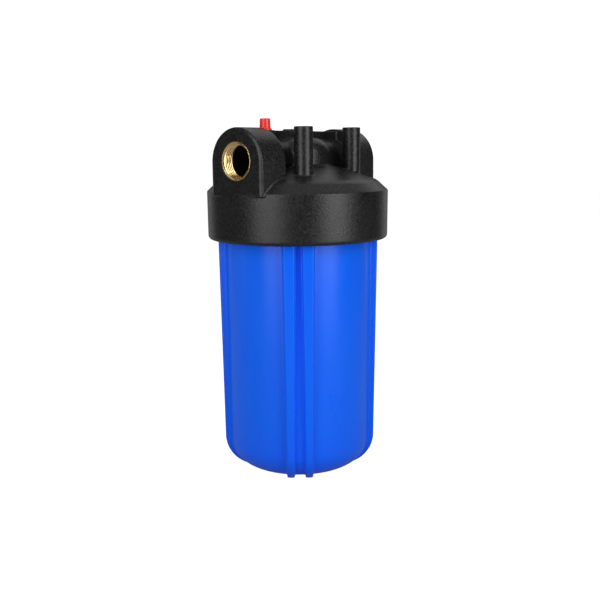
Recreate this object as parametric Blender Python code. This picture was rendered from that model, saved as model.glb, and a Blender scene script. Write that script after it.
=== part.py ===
"""Cartridge filter housing with brass ports: cap, bowl, pressure relief valve and pleated cartridge.

Units are metres and +Z is up. The origin is the centre of the base, on the housing's vertical axis.
The ports lie along X, with the inlet at -X. The bowl screws up into the cap on a helical thread.
"""

import math

import bmesh
import bpy
from mathutils import Matrix, Vector

MM = 0.001

# Heights of the main levels
COLLAR_BOTTOM_Z = 241.5 * MM
COLLAR_TOP_Z = 289.6 * MM
SHOULDER_Z = 300.4 * MM
PORT_Z = 320.1 * MM
HUB_TOP_Z = 341.7 * MM
WEB_TOP_Z = 348.8 * MM
BLOCK_TOP_Z = 351.4 * MM
PILLAR_TOP_Z = 352.0 * MM

# Cap
COLLAR_RADIUS = 92.0 * MM
COLLAR_FOOT_RADIUS = 91.7 * MM
COLLAR_FILLET = 4.0 * MM
SHOULDER_RADIUS = 80.4 * MM
ROOF_SLOPE = math.radians(17.5)
ROOF_WALL = 6.5 * MM
HUB_RADIUS = 33.5 * MM
HUB_FILLET = 16.0 * MM
HUB_WALL = 5.5 * MM
CHANNEL_RADIUS = 20.0 * MM
WEB_THICKNESS = 11.0 * MM
PILLAR_RADIUS = 9.1 * MM
PILLAR_X = 38.0 * MM
PILLAR_Y = 40.0 * MM
PILLAR_RIM = 0.8 * MM
SCREW_HOLE_RADIUS = 3.2 * MM
SCREW_HOLE_DEPTH = 22.0 * MM

# Port blocks, each an arch on straight sides that narrows a little towards its face
PORT_REACH = 89.6 * MM
BLOCK_INNER_X = 58.3 * MM
BLOCK_BOTTOM_Z = 287.4 * MM
BLOCK_HALF_INNER = 35.2 * MM
BLOCK_HALF_OUTER = 32.6 * MM
FACE_BEVEL_AXIAL = 1.4 * MM
FACE_BEVEL_SIDE = 2.5 * MM

# Flow passages
PORT_BORE_RADIUS = 15.2 * MM
OUTLET_THROAT = 14.4 * MM
OUTLET_THROAT_X = -8.0 * MM
STANDPIPE_RADIUS = 20.0 * MM
STANDPIPE_BORE = 13.2 * MM
NOZZLE_RADIUS = 13.3 * MM
NOZZLE_BORE = 10.8 * MM
NOZZLE_BOTTOM_Z = 250.0 * MM
KNIFE_EDGE_Z = 261.5 * MM
KNIFE_EDGE_RADIUS = 18.4 * MM

# Brass port inserts, 1 inch pipe thread
INSERT_RADIUS = 18.6 * MM
INSERT_LENGTH = 11.5 * MM
INSERT_MAJOR = 16.7 * MM
INSERT_MINOR = 15.2 * MM
INSERT_PITCH = 2.21 * MM

# Screw thread between bowl and cap
THREAD_PITCH = 8.0 * MM
THREAD_TURNS = 3.0
THREAD_BASE_WIDTH = 4.4 * MM
THREAD_CREST_WIDTH = 2.3 * MM
CAP_THREAD_ROOT = 84.8 * MM
CAP_THREAD_CREST = 82.3 * MM
CAP_THREAD_START_Z = 250.0 * MM
BOWL_THREAD_ROOT = 81.2 * MM
BOWL_THREAD_CREST = 83.9 * MM
THREAD_SEATING = 3.2 * MM
SEAL_BORE = 80.2 * MM

# Bowl
BOWL_TOP_Z = 291.5 * MM
BOWL_BOTTOM_Z = 3.2 * MM
BOWL_RADIUS_TOP = 74.8 * MM
BOWL_RADIUS_LOW = 73.6 * MM
BOWL_WALL = 5.0 * MM
BOWL_FILLET = 27.5 * MM
NECK_BASE_Z = 240.8 * MM
NECK_BORE = 73.0 * MM
NECK_LAND = 79.7 * MM
RIB_RADIUS_TOP = 80.9 * MM
RIB_FILLET = 33.0 * MM
RIB_FILLET_CENTRE = 45.3 * MM
RIB_TOP_Z = 244.0 * MM
RIB_WIDTH_TOP = 11.4 * MM
RIB_WIDTH_LOW = 7.6 * MM
RIB_OFFSET = 9.25 * MM
RIB_FOOT_RADIUS = 36.0 * MM
RIB_PAIRS = 4
BOWL_TURN_DEG = 40.4

# Bowl seal
SEAL_GROOVE_RADIUS = 75.4 * MM
SEAL_GROOVE_Z = (284.9 * MM, 289.5 * MM)
SEAL_RING_RADIUS = 77.8 * MM
SEAL_CORD_RADIUS = 2.0 * MM

# Pressure relief valve
RELIEF_X = -47.8 * MM
RELIEF_BOSS_RADIUS = 9.6 * MM
RELIEF_SEAT_Z = 336.2 * MM
RELIEF_SHELF_Z = 341.0 * MM
RELIEF_BORE_RADIUS = 6.6 * MM
RELIEF_STEM_HOLE = 1.9 * MM
RELIEF_POCKET_RADIUS = 6.2 * MM
RELIEF_MOUTH_RADIUS = 7.4 * MM
RELIEF_MOUTH_DEPTH = 3.4 * MM
BUTTON_TOP_Z = 360.2 * MM
BUTTON_FOOT_Z = 344.6 * MM
BUTTON_SKIRT_Z = 348.2 * MM
BUTTON_NECK_Z = 351.6 * MM
BUTTON_SKIRT_RADIUS = 5.8 * MM
BUTTON_FLANGE_RADIUS = 6.7 * MM
BUTTON_RADIUS = 5.0 * MM
BUTTON_POCKET_RADIUS = 4.45 * MM
BUTTON_EDGE = 0.9 * MM
SCREW_TOP_Z = 356.2 * MM
SCREW_HEAD_Z = (329.6 * MM, 332.2 * MM)
SCREW_HEAD_RADIUS = 3.6 * MM
SCREW_RADIUS = 1.5 * MM
VALVE_SEAL_RADIUS = 5.4 * MM
SPRING_TOP_Z = 351.7 * MM
SPRING_RADIUS = 3.2 * MM
SPRING_WIRE_RADIUS = 0.4 * MM
SPRING_TURNS = 5

# Cartridge
CARTRIDGE_RADIUS = 57.0 * MM
CARTRIDGE_BOTTOM_Z = 12.8 * MM
CARTRIDGE_BORE = 14.3 * MM
GASKET_THICKNESS = 3.0 * MM
END_CAP_THICKNESS = 4.0 * MM
END_CAP_LIP = 6.0 * MM
CORE_WALL = 3.3 * MM
PLEATS = 40

GAP = 0.3 * MM
BIG_STEPS = 48
PIPE_STEPS = 36
RING_STEPS = 30
SMALL_STEPS = 24
PILLAR_STEPS = 20
HOLE_STEPS = 12
THREAD_STEPS = 30
PIPE_THREAD_STEPS = 14


def clear_scene():
    for item in list(bpy.data.objects):
        bpy.data.objects.remove(item, do_unlink=True)


def material(name, colour, roughness, metallic=0.0):
    made = bpy.data.materials.new(name)
    made.use_nodes = True
    shader = made.node_tree.nodes["Principled BSDF"]
    shader.inputs["Base Color"].default_value = (*colour, 1.0)
    shader.inputs["Roughness"].default_value = roughness
    shader.inputs["Metallic"].default_value = metallic
    made.diffuse_color = (*colour, 1.0)
    return made


def object_from(bm, name):
    bmesh.ops.remove_doubles(bm, verts=bm.verts, dist=0.0005 * MM)
    bmesh.ops.recalc_face_normals(bm, faces=bm.faces)
    mesh = bpy.data.meshes.new(name)
    bm.to_mesh(mesh)
    bm.free()
    made = bpy.data.objects.new(name, mesh)
    bpy.context.scene.collection.objects.link(made)
    return made


def arc(centre, radius, start_deg, end_deg, steps):
    """Points (r, z) on an arc, from one angle to the other, both ends included."""
    points = []
    for i in range(steps + 1):
        angle = math.radians(start_deg + (end_deg - start_deg) * i / steps)
        points.append((centre[0] + radius * math.cos(angle), centre[1] + radius * math.sin(angle)))
    return points


def lathe(name, outline, steps, closed=False, centre=(0.0, 0.0)):
    """Turn an outline of (r, z) points about the vertical line through centre."""
    bm = bmesh.new()
    verts = [bm.verts.new((centre[0] + r, centre[1], z)) for r, z in outline]
    edges = [bm.edges.new(pair) for pair in zip(verts, verts[1:])]
    if closed:
        edges.append(bm.edges.new((verts[-1], verts[0])))
    bmesh.ops.spin(
        bm, geom=verts + edges, cent=(centre[0], centre[1], 0.0), axis=(0.0, 0.0, 1.0),
        angle=math.tau, steps=steps, use_merge=True,
    )
    return object_from(bm, name)


def loft(name, sections):
    """Join closed rings of points, all of one length, and cap both ends."""
    bm = bmesh.new()
    rings = [[bm.verts.new(point) for point in section] for section in sections]
    count = len(rings[0])
    for low, high in zip(rings, rings[1:]):
        for i in range(count):
            j = (i + 1) % count
            bm.faces.new((low[i], low[j], high[j], high[i]))
    bm.faces.new(rings[0])
    bm.faces.new(rings[-1])
    return object_from(bm, name)


def circle_x(x, z, radius, steps):
    """A circle in the plane at x, centred on y = 0 at height z."""
    ring = []
    for i in range(steps):
        angle = math.tau * i / steps
        ring.append(Vector((x, radius * math.cos(angle), z + radius * math.sin(angle))))
    return ring


def rod_x(name, x0, x1, radius, steps=SMALL_STEPS):
    return loft(name, [circle_x(x0, PORT_Z, radius, steps), circle_x(x1, PORT_Z, radius, steps)])


def box(name, low, high):
    corners = [(low[0], low[1]), (high[0], low[1]), (high[0], high[1]), (low[0], high[1])]
    return loft(name, [[Vector((x, y, z)) for x, y in corners] for z in (low[2], high[2])])


def boolean(target, tool, operation):
    """Apply an exact union, difference or intersection, and remove the tool."""
    change = target.modifiers.new(operation.lower(), "BOOLEAN")
    change.operation = operation
    change.object = tool
    change.solver = "EXACT"
    graph = bpy.context.evaluated_depsgraph_get()
    result = bpy.data.meshes.new_from_object(target.evaluated_get(graph))
    target.modifiers.clear()
    target.data = result
    bpy.data.objects.remove(tool, do_unlink=True)


def join(target, *tools):
    for tool in tools:
        boolean(target, tool, "UNION")


def cut(target, *tools):
    for tool in tools:
        boolean(target, tool, "DIFFERENCE")


def keep(target, tool):
    boolean(target, tool, "INTERSECT")


def finish(made, colour):
    """Give a part its material and smooth shading with crisp edges."""
    made.data.materials.clear()
    made.data.materials.append(colour)
    made.data.shade_smooth()
    made.data.set_sharp_from_angle(angle=math.radians(32.0))
    return made


def ridge(name, pitch, turns, start_z, root, crest, embed, widths, steps):
    """A helical ridge about Z that fades out at both ends. The crest may lie inside or outside the root."""
    start_angle = math.radians(2.0)
    sections = []
    count = int(round(turns * steps))
    base_width, crest_width = widths
    outward = 1.0 if crest > root else -1.0
    buried = root - outward * embed
    for i in range(count + 1):
        angle = start_angle + math.tau * i / steps
        z = start_z + pitch * i / steps
        fade = min(1.0, 5.0 * i / steps, 5.0 * (count - i) / steps)
        top = root + (crest - root) * fade - outward * 0.5 * embed * (1.0 - fade)
        direction = Vector((math.cos(angle), math.sin(angle), 0.0))
        profile = [
            (buried, -base_width / 2),
            (top, -crest_width / 2),
            (top, crest_width / 2),
            (buried, base_width / 2),
        ]
        sections.append([direction * r + Vector((0.0, 0.0, z + dz)) for r, dz in profile])
    return loft(name, sections)


def roof_z(radius):
    """Height of the cap's sloping roof at a distance from the axis."""
    return SHOULDER_Z + (SHOULDER_RADIUS - radius) * math.tan(ROOF_SLOPE)


def block_section(x, half, top_z, side):
    """The arched outline of a port block in the plane at x."""
    centre_z = top_z - half
    points = [Vector((side * x, y, z)) for y, z in arc((0.0, centre_z), half, 0.0, 180.0, 18)]
    points.append(Vector((side * x, -half, BLOCK_BOTTOM_Z)))
    points.append(Vector((side * x, half, BLOCK_BOTTOM_Z)))
    return points


def port_block(name, side):
    inner = block_section(BLOCK_INNER_X, BLOCK_HALF_INNER, BLOCK_TOP_Z, side)
    outer = block_section(PORT_REACH - FACE_BEVEL_AXIAL, BLOCK_HALF_OUTER, BLOCK_TOP_Z, side)
    face_half = BLOCK_HALF_OUTER - FACE_BEVEL_SIDE
    face = block_section(PORT_REACH, face_half, BLOCK_TOP_Z - FACE_BEVEL_SIDE, side)
    return loft(name, [inner, outer, face])


def cap_shell():
    """The outside of the cap as one solid of revolution."""
    outline = [(0.0, COLLAR_BOTTOM_Z)]
    foot_centre = (COLLAR_FOOT_RADIUS - COLLAR_FILLET, COLLAR_BOTTOM_Z + COLLAR_FILLET)
    outline += arc(foot_centre, COLLAR_FILLET, -90.0, 0.0, 4)
    outline += [(COLLAR_RADIUS, COLLAR_TOP_Z), (SHOULDER_RADIUS, SHOULDER_Z)]
    outline += [(HUB_RADIUS, roof_z(HUB_RADIUS))]
    outline += arc((HUB_RADIUS - HUB_FILLET, HUB_TOP_Z - HUB_FILLET), HUB_FILLET, 0.0, 90.0, 6)
    outline += [(0.0, HUB_TOP_Z)]
    return lathe("cap_head", outline, BIG_STEPS)


def hub_dome(gap):
    """The domed inside of the hub as (r, z) points from its wall to its top, moved in by gap."""
    inner_fillet = HUB_FILLET - HUB_WALL
    centre = (HUB_RADIUS - HUB_FILLET, HUB_TOP_Z - HUB_FILLET)
    return arc(centre, inner_fillet - gap, 0.0, 90.0, 5) + [(0.0, HUB_TOP_Z - HUB_WALL - gap)]


def cap_cavity():
    """The inside of the cap: thread bore, seal bore, sloping ceiling and the chamber in the hub."""
    below = COLLAR_BOTTOM_Z - 2.0 * MM
    hollow = HUB_RADIUS - HUB_WALL
    seal_bore_z = SEAL_GROOVE_Z[0] - 1.0 * MM
    ceiling_z = SHOULDER_Z - ROOF_WALL
    outline = [
        (0.0, below),
        (CAP_THREAD_ROOT + 1.5 * MM, below),
        (CAP_THREAD_ROOT + 1.5 * MM, COLLAR_BOTTOM_Z + 1.5 * MM),
        (CAP_THREAD_ROOT, COLLAR_BOTTOM_Z + 3.0 * MM),
        (CAP_THREAD_ROOT, seal_bore_z - 4.0 * MM),
        (SEAL_BORE, seal_bore_z),
        (SEAL_BORE, ceiling_z),
        (76.0 * MM, roof_z(76.0 * MM) - ROOF_WALL),
        (hollow, roof_z(hollow) - ROOF_WALL),
    ]
    outline += hub_dome(0.0)
    return lathe("cavity", outline, BIG_STEPS)


def riser():
    """The flow passage up through the nozzle and the standpipe."""
    outline = [
        (0.0, NOZZLE_BOTTOM_Z - 1.0 * MM),
        (NOZZLE_BORE, NOZZLE_BOTTOM_Z - 1.0 * MM),
        (NOZZLE_BORE, KNIFE_EDGE_Z + 4.0 * MM),
        (STANDPIPE_BORE, KNIFE_EDGE_Z + 10.0 * MM),
        (STANDPIPE_BORE, PORT_Z + 4.0 * MM),
        (0.0, PORT_Z + 4.0 * MM),
    ]
    return lathe("riser", outline, SMALL_STEPS)


def build_standpipe(plastic):
    """The pipe that carries filtered water from the cartridge up to the outlet channel.

    Its lower end has the nozzle that enters the cartridge and the sealing edge that presses on the gasket.
    """
    top = HUB_TOP_Z - HUB_WALL - GAP
    outline = [
        (0.0, NOZZLE_BOTTOM_Z),
        (NOZZLE_RADIUS - 1.0 * MM, NOZZLE_BOTTOM_Z),
        (NOZZLE_RADIUS, NOZZLE_BOTTOM_Z + 2.0 * MM),
        (NOZZLE_RADIUS, KNIFE_EDGE_Z + 3.0 * MM),
        (KNIFE_EDGE_RADIUS - 1.2 * MM, KNIFE_EDGE_Z + 1.6 * MM),
        (KNIFE_EDGE_RADIUS - 0.4 * MM, KNIFE_EDGE_Z),
        (KNIFE_EDGE_RADIUS + 0.4 * MM, KNIFE_EDGE_Z),
        (STANDPIPE_RADIUS, KNIFE_EDGE_Z + 2.4 * MM),
        (STANDPIPE_RADIUS, top - 0.6 * MM),
        (HUB_RADIUS - HUB_FILLET, top),
        (0.0, top),
    ]
    pipe = lathe("cap_standpipe", outline, PIPE_STEPS)
    below = PORT_Z - CHANNEL_RADIUS
    room = [(0.0, below), (HUB_RADIUS - HUB_WALL - GAP, below)] + hub_dome(GAP)
    branch = rod_x("branch", 1.0 * MM, HUB_RADIUS, CHANNEL_RADIUS - 2.0 * MM)
    keep(branch, lathe("room", room, BIG_STEPS))
    join(pipe, branch)
    cut(pipe, rod_x("outlet_throat", OUTLET_THROAT_X, PORT_REACH, OUTLET_THROAT), riser())
    finish(pipe, plastic)


def pillar(name, x, y):
    outline = [(0.0, SHOULDER_Z - 1.0 * MM), (PILLAR_RADIUS, SHOULDER_Z - 1.0 * MM)]
    rim_centre = (PILLAR_RADIUS - PILLAR_RIM, PILLAR_TOP_Z - PILLAR_RIM)
    outline += arc(rim_centre, PILLAR_RIM, 0.0, 90.0, 2)
    outline += [(0.0, PILLAR_TOP_Z)]
    return lathe(name, outline, PILLAR_STEPS, centre=(x, y))


def pillar_places():
    return [(sx * PILLAR_X, sy * PILLAR_Y) for sx in (-1, 1) for sy in (-1, 1)]


def screw_hole(name, x, y):
    bottom = PILLAR_TOP_Z - SCREW_HOLE_DEPTH
    mouth = SCREW_HOLE_RADIUS + 0.6 * MM
    outline = [
        (0.0, bottom - 1.5 * MM),
        (SCREW_HOLE_RADIUS, bottom),
        (SCREW_HOLE_RADIUS, PILLAR_TOP_Z - 0.6 * MM),
        (mouth + 1.0 * MM, PILLAR_TOP_Z + 1.0 * MM),
        (0.0, PILLAR_TOP_Z + 1.0 * MM),
    ]
    return lathe(name, outline, HOLE_STEPS, centre=(x, y))


def relief_bores():
    """The stepped hole of the relief valve: stem hole with a flat seat below, spring pocket and mouth."""
    mouth_z = WEB_TOP_Z - RELIEF_MOUTH_DEPTH
    outline = [
        (0.0, PORT_Z),
        (RELIEF_BORE_RADIUS, PORT_Z),
        (RELIEF_BORE_RADIUS, RELIEF_SEAT_Z),
        (RELIEF_STEM_HOLE, RELIEF_SEAT_Z),
        (RELIEF_STEM_HOLE, RELIEF_SHELF_Z),
        (RELIEF_POCKET_RADIUS, RELIEF_SHELF_Z),
        (RELIEF_POCKET_RADIUS, mouth_z),
        (RELIEF_MOUTH_RADIUS, mouth_z),
        (RELIEF_MOUTH_RADIUS, WEB_TOP_Z + 5.0 * MM),
        (0.0, WEB_TOP_Z + 5.0 * MM),
    ]
    return lathe("relief_bores", outline, SMALL_STEPS, centre=(RELIEF_X, 0.0))


def build_cap(plastic):
    cap = cap_shell()
    join(cap, port_block("inlet_block", -1), port_block("outlet_block", 1))
    join(cap, rod_x("channels", -BLOCK_INNER_X - 3.0 * MM, BLOCK_INNER_X + 3.0 * MM, CHANNEL_RADIUS))
    web_reach = BLOCK_INNER_X + 2.0 * MM
    web_half = WEB_THICKNESS / 2
    join(cap, box("web", (-web_reach, -web_half, PORT_Z), (web_reach, web_half, WEB_TOP_Z)))
    boss_edge = 0.6 * MM
    boss = [
        (0.0, PORT_Z),
        (RELIEF_BOSS_RADIUS, PORT_Z),
        (RELIEF_BOSS_RADIUS, WEB_TOP_Z - boss_edge),
        (RELIEF_BOSS_RADIUS - boss_edge, WEB_TOP_Z + 0.1 * MM),
        (0.0, WEB_TOP_Z + 0.1 * MM),
    ]
    join(cap, lathe("relief_boss", boss, SMALL_STEPS, centre=(RELIEF_X, 0.0)))
    for i, (x, y) in enumerate(pillar_places()):
        join(cap, pillar(f"pillar_{i}", x, y))
    cut(cap, cap_cavity())
    pipe_inner = HUB_RADIUS - 3.0 * MM
    pipe_outer = BLOCK_INNER_X + 4.0 * MM
    past_face = PORT_REACH + 2.0 * MM
    seat_x = PORT_REACH - INSERT_LENGTH - GAP
    for side in (-1, 1):
        join(cap, rod_x("channel_wall", side * pipe_inner, side * pipe_outer, CHANNEL_RADIUS - 0.2 * MM))
    join(cap, ridge(
        "cap_thread", THREAD_PITCH, THREAD_TURNS, CAP_THREAD_START_Z, CAP_THREAD_ROOT, CAP_THREAD_CREST,
        1.2 * MM, (THREAD_BASE_WIDTH, THREAD_CREST_WIDTH), THREAD_STEPS,
    ))
    for side in (-1, 1):
        cut(cap, rod_x("port_bore", side * CHANNEL_RADIUS, side * past_face, PORT_BORE_RADIUS))
        cut(cap, rod_x("insert_seat", side * seat_x, side * past_face, INSERT_RADIUS + GAP, RING_STEPS))
    for i, (x, y) in enumerate(pillar_places()):
        cut(cap, screw_hole(f"screw_hole_{i}", x, y))
    cut(cap, relief_bores())
    finish(cap, plastic)


def build_insert(name, side, brass):
    """A brass ring with an internal pipe thread, flush with the port's face."""
    back = PORT_REACH - INSERT_LENGTH
    outline = [
        (INSERT_MAJOR, back),
        (INSERT_RADIUS, back),
        (INSERT_RADIUS, PORT_REACH),
        (INSERT_MAJOR, PORT_REACH),
    ]
    ring = lathe(name, outline, RING_STEPS, closed=True)
    turns = 4.0
    start = back + INSERT_PITCH * 0.5
    join(ring, ridge(
        "pipe_thread", INSERT_PITCH, turns, start, INSERT_MAJOR, INSERT_MINOR,
        0.5 * MM, (2.0 * MM, 0.3 * MM), PIPE_THREAD_STEPS,
    ))
    lay_down = Matrix.Rotation(side * math.pi / 2, 4, "Y")
    ring.data.transform(lay_down)
    ring.location = (0.0, 0.0, PORT_Z)
    finish(ring, brass)


def bowl_outline():
    low_centre = (BOWL_RADIUS_LOW - BOWL_FILLET, BOWL_BOTTOM_Z + BOWL_FILLET)
    inner_fillet = BOWL_FILLET - BOWL_WALL
    floor_z = BOWL_BOTTOM_Z + BOWL_WALL
    outline = [(0.0, BOWL_BOTTOM_Z)]
    outline += arc(low_centre, BOWL_FILLET, -90.0, 0.0, 6)
    outline += [
        (BOWL_RADIUS_TOP, NECK_BASE_Z),
        (BOWL_THREAD_ROOT, NECK_BASE_Z + 6.0 * MM),
        (BOWL_THREAD_ROOT, SEAL_GROOVE_Z[0] - 2.5 * MM),
        (NECK_LAND, SEAL_GROOVE_Z[0] - 1.0 * MM),
        (NECK_LAND, SEAL_GROOVE_Z[0]),
        (SEAL_GROOVE_RADIUS, SEAL_GROOVE_Z[0]),
        (SEAL_GROOVE_RADIUS, SEAL_GROOVE_Z[1]),
        (NECK_LAND, SEAL_GROOVE_Z[1]),
        (NECK_LAND, BOWL_TOP_Z - 0.8 * MM),
        (NECK_LAND - 0.8 * MM, BOWL_TOP_Z),
        (NECK_BORE + 0.8 * MM, BOWL_TOP_Z),
        (NECK_BORE, BOWL_TOP_Z - 0.8 * MM),
        (NECK_BORE, NECK_BASE_Z + 11.0 * MM),
        (BOWL_RADIUS_TOP - BOWL_WALL, NECK_BASE_Z + 3.0 * MM),
    ]
    outline += arc(low_centre, inner_fillet, 0.0, -90.0, 5)
    spigot = 13.2 * MM
    outline += [
        (20.5 * MM, floor_z),
        (18.8 * MM, CARTRIDGE_BOTTOM_Z - GAP),
        (17.6 * MM, CARTRIDGE_BOTTOM_Z - GAP),
        (16.6 * MM, floor_z),
        (spigot, floor_z),
        (spigot, floor_z + 12.0 * MM),
        (spigot - 2.0 * MM, floor_z + 14.5 * MM),
        (0.0, floor_z + 14.5 * MM),
    ]
    return outline


def rib(name, pair_deg, side):
    """One rib: it follows the wall, rounds the bottom corner and ends in a flat foot."""
    low_centre = (BOWL_RADIUS_LOW - BOWL_FILLET, BOWL_BOTTOM_Z + BOWL_FILLET)
    mid_wall = BOWL_WALL / 2
    outline = [(RIB_RADIUS_TOP, RIB_TOP_Z)]
    outline += arc((RIB_FILLET_CENTRE, RIB_FILLET), RIB_FILLET, 0.0, -90.0, 7)
    outline += [(RIB_FOOT_RADIUS, 0.0), (RIB_FOOT_RADIUS - 3.0 * MM, BOWL_BOTTOM_Z + mid_wall)]
    outline += arc(low_centre, BOWL_FILLET - mid_wall, -90.0, 0.0, 4)
    outline += [(BOWL_RADIUS_TOP - mid_wall, RIB_TOP_Z)]
    turn = Matrix.Rotation(math.radians(pair_deg), 3, "Z")
    faces = []
    for edge in (-0.5, 0.5):
        ring = []
        for r, z in outline:
            width = RIB_WIDTH_LOW + (RIB_WIDTH_TOP - RIB_WIDTH_LOW) * z / RIB_TOP_Z
            ring.append(turn @ Vector((r, side * RIB_OFFSET + edge * width, z)))
        faces.append(ring)
    return loft(name, faces)


def build_bowl(plastic):
    bowl = lathe("sump_bowl", bowl_outline(), BIG_STEPS)
    for i in range(RIB_PAIRS):
        angle = 360.0 * i / RIB_PAIRS
        join(bowl, rib("rib_left", angle, -1), rib("rib_right", angle, 1))
    start_z = CAP_THREAD_START_Z + THREAD_SEATING + THREAD_PITCH * BOWL_TURN_DEG / 360.0
    join(bowl, ridge(
        "bowl_thread", THREAD_PITCH, THREAD_TURNS, start_z, BOWL_THREAD_ROOT, BOWL_THREAD_CREST,
        1.2 * MM, (THREAD_BASE_WIDTH, THREAD_CREST_WIDTH), THREAD_STEPS,
    ))
    bowl.data.transform(Matrix.Rotation(math.radians(BOWL_TURN_DEG), 4, "Z"))
    finish(bowl, plastic)


def build_seal(rubber):
    middle = (SEAL_GROOVE_Z[0] + SEAL_GROOVE_Z[1]) / 2
    outline = arc((SEAL_RING_RADIUS, middle), SEAL_CORD_RADIUS, 0.0, 360.0, 8)[:-1]
    finish(lathe("sump_oring", outline, BIG_STEPS, closed=True), rubber)


def build_relief_valve(red, steel, rubber):
    """Button, screw, valve seal and spring, all on the valve's vertical axis."""
    screw_bore = SCREW_RADIUS + 0.35 * MM
    screw_hole_top = SCREW_TOP_Z + 0.4 * MM
    button = [
        (0.0, screw_hole_top),
        (screw_bore, screw_hole_top),
        (screw_bore, SPRING_TOP_Z + GAP),
        (BUTTON_POCKET_RADIUS, SPRING_TOP_Z + GAP),
        (BUTTON_POCKET_RADIUS, BUTTON_FOOT_Z),
        (BUTTON_SKIRT_RADIUS - BUTTON_EDGE, BUTTON_FOOT_Z),
        (BUTTON_SKIRT_RADIUS, BUTTON_FOOT_Z + 0.8 * MM),
        (BUTTON_SKIRT_RADIUS, BUTTON_SKIRT_Z),
        (BUTTON_FLANGE_RADIUS, BUTTON_SKIRT_Z + 1.0 * MM),
        (BUTTON_FLANGE_RADIUS, BUTTON_SKIRT_Z + 1.6 * MM),
        (BUTTON_RADIUS + 0.35 * MM, BUTTON_NECK_Z),
        (BUTTON_RADIUS, BUTTON_TOP_Z - BUTTON_EDGE),
    ]
    button += arc((BUTTON_RADIUS - BUTTON_EDGE, BUTTON_TOP_Z - BUTTON_EDGE), BUTTON_EDGE, 0.0, 90.0, 3)[1:]
    button += [(0.0, BUTTON_TOP_Z)]
    button_piece = lathe("relief_button", button, SMALL_STEPS)

    head_bottom, head_top = SCREW_HEAD_Z
    head_edge = 0.6 * MM
    screw = [
        (0.0, head_bottom),
        (SCREW_HEAD_RADIUS - head_edge, head_bottom),
        (SCREW_HEAD_RADIUS, head_bottom + head_edge),
        (SCREW_HEAD_RADIUS, head_top),
        (SCREW_RADIUS, head_top),
        (SCREW_RADIUS, SCREW_TOP_Z - head_edge),
        (SCREW_RADIUS - head_edge, SCREW_TOP_Z),
        (0.0, SCREW_TOP_Z),
    ]
    screw_piece = lathe("relief_screw", screw, SMALL_STEPS)

    seal_bottom = head_top + GAP
    seal_top = RELIEF_SEAT_Z - GAP
    seal_edge = 0.5 * MM
    washer = [
        (screw_bore, seal_bottom),
        (VALVE_SEAL_RADIUS - seal_edge, seal_bottom),
        (VALVE_SEAL_RADIUS, seal_bottom + seal_edge),
        (VALVE_SEAL_RADIUS, seal_top - seal_edge),
        (VALVE_SEAL_RADIUS - seal_edge, seal_top),
        (screw_bore, seal_top),
    ]
    seal_piece = lathe("relief_valve_seal", washer, SMALL_STEPS, closed=True)

    coil_low = RELIEF_SHELF_Z + GAP + SPRING_WIRE_RADIUS
    coil_high = SPRING_TOP_Z - SPRING_WIRE_RADIUS
    steps = HOLE_STEPS
    sections = []
    for i in range(SPRING_TURNS * steps + 1):
        angle = math.tau * i / steps
        z = coil_low + (coil_high - coil_low) * i / (SPRING_TURNS * steps)
        outward = Vector((math.cos(angle), math.sin(angle), 0.0))
        ring = [outward * (SPRING_RADIUS + dr) + Vector((0.0, 0.0, z + dz))
                for dr, dz in arc((0.0, 0.0), SPRING_WIRE_RADIUS, 0.0, 360.0, 5)[:-1]]
        sections.append(ring)
    spring_piece = loft("relief_spring", sections)

    for piece, colour in (
        (button_piece, red), (screw_piece, steel), (seal_piece, rubber), (spring_piece, steel),
    ):
        piece.location.x = RELIEF_X
        finish(piece, colour)


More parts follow.
